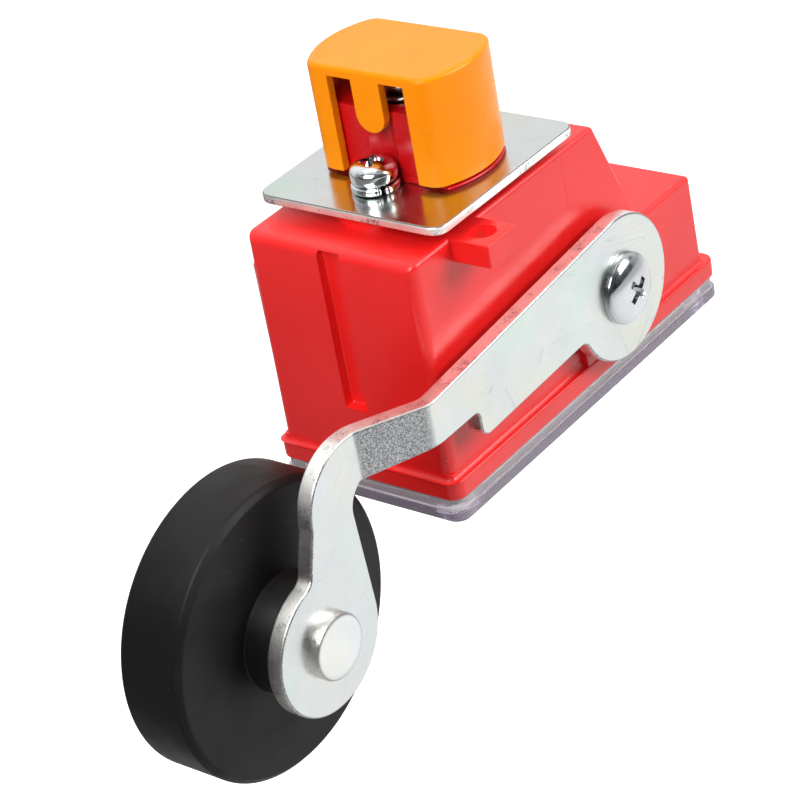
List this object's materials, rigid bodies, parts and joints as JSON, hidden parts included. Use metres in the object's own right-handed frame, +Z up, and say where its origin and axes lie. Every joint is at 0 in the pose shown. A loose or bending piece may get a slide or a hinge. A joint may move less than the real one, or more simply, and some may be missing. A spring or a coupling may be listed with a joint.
{
  "type": "roller lever limit switch",
  "caption": "Limit switch with a drafted moulded housing, clear base cover, side roller lever and a reset cap on a steel head plate.",
  "frame": {"origin": "centre of the clear base cover's underside", "axes": "+Z up from the base towards the reset cap, +X towards the pivot end, the lever lies on the -Y side"},
  "size_m": [0.1363, 0.0494, 0.0978],
  "materials": {
    "housing_red": "semi-gloss moulded",
    "clear_plastic": "clear polycarbonate",
    "gasket_white": "soft",
    "zinc_screw": "bright zinc",
    "zinc_plate": "satin zinc",
    "brass": "turned",
    "guide_red": "moulded",
    "cap_orange": "moulded",
    "ground_steel": "ground",
    "spring_steel": "oiled",
    "zinc_lever": "zinc plated",
    "bronze": "sintered",
    "seal_black": "soft",
    "slide_cream": "moulded",
    "copper": "plain",
    "block_black": "moulded",
    "roller_black": "turned"
  },
  "bodies": {
    "case": {"housing": "housing_red", "base_cover": "clear_plastic", "cover_gasket": "gasket_white", "cover_screws": "zinc_screw", "mount_plate": "zinc_plate", "thread_inserts": "brass", "plate_screws": "zinc_screw", "spring_washers": "zinc_screw", "reset_guide": "guide_red", "guide_nut": "brass", "reset_spring": "spring_steel", "shaft_bushes": "bronze", "shaft_seal": "seal_black", "contact_block": "block_black", "fixed_contacts": "brass", "terminal_screws": "zinc_screw", "terminal_clamps": "zinc_screw", "block_screws": "zinc_screw", "entry_grommet": "seal_black"},
    "lever_arm": {"lever": "zinc_lever", "lever_screw": "zinc_screw", "shaft": "ground_steel", "crank": "brass", "crank_pin": "ground_steel", "crank_roll_pin": "spring_steel", "return_spring": "spring_steel", "roller_rivet": "zinc_lever", "roller_washer": "zinc_screw"},
    "roller_wheel": {"roller": "roller_black", "roller_bush": "bronze"},
    "slide": {"contact_slide": "slide_cream", "contact_bridge": "copper", "bridge_springs": "spring_steel"},
    "cap": {"reset_cap": "cap_orange", "reset_plunger": "ground_steel", "plunger_clip": "spring_steel"}
  },
  "joints": [
    {"name": "lever_turn", "type": "hinge", "parent": "case", "child": "lever_arm", "pos_m": [0.00695, 0, 0.0193], "axis": [0, 1, 0], "range_deg": [-30, 18], "stiffness_Nm_per_rad": 1.2},
    {"name": "roller_spin", "type": "hinge", "parent": "lever_arm", "child": "roller_wheel", "pos_m": [-0.07145, 0, -0.0031], "axis": [0, 1, 0], "continuous": true},
    {"name": "slide_travel", "type": "slide", "parent": "case", "child": "slide", "axis": [1, 0, 0], "range_m": [-0.0037, 0.0023]},
    {"name": "cap_reset", "type": "slide", "parent": "case", "child": "cap", "axis": [0, 0, 1], "range_m": [0, 0.004], "deforming": ["reset_spring"]}
  ],
  "couplings": [
    {"joint": "slide_travel", "follows": "lever_turn", "m_per_rad": 0.007}
  ]
}
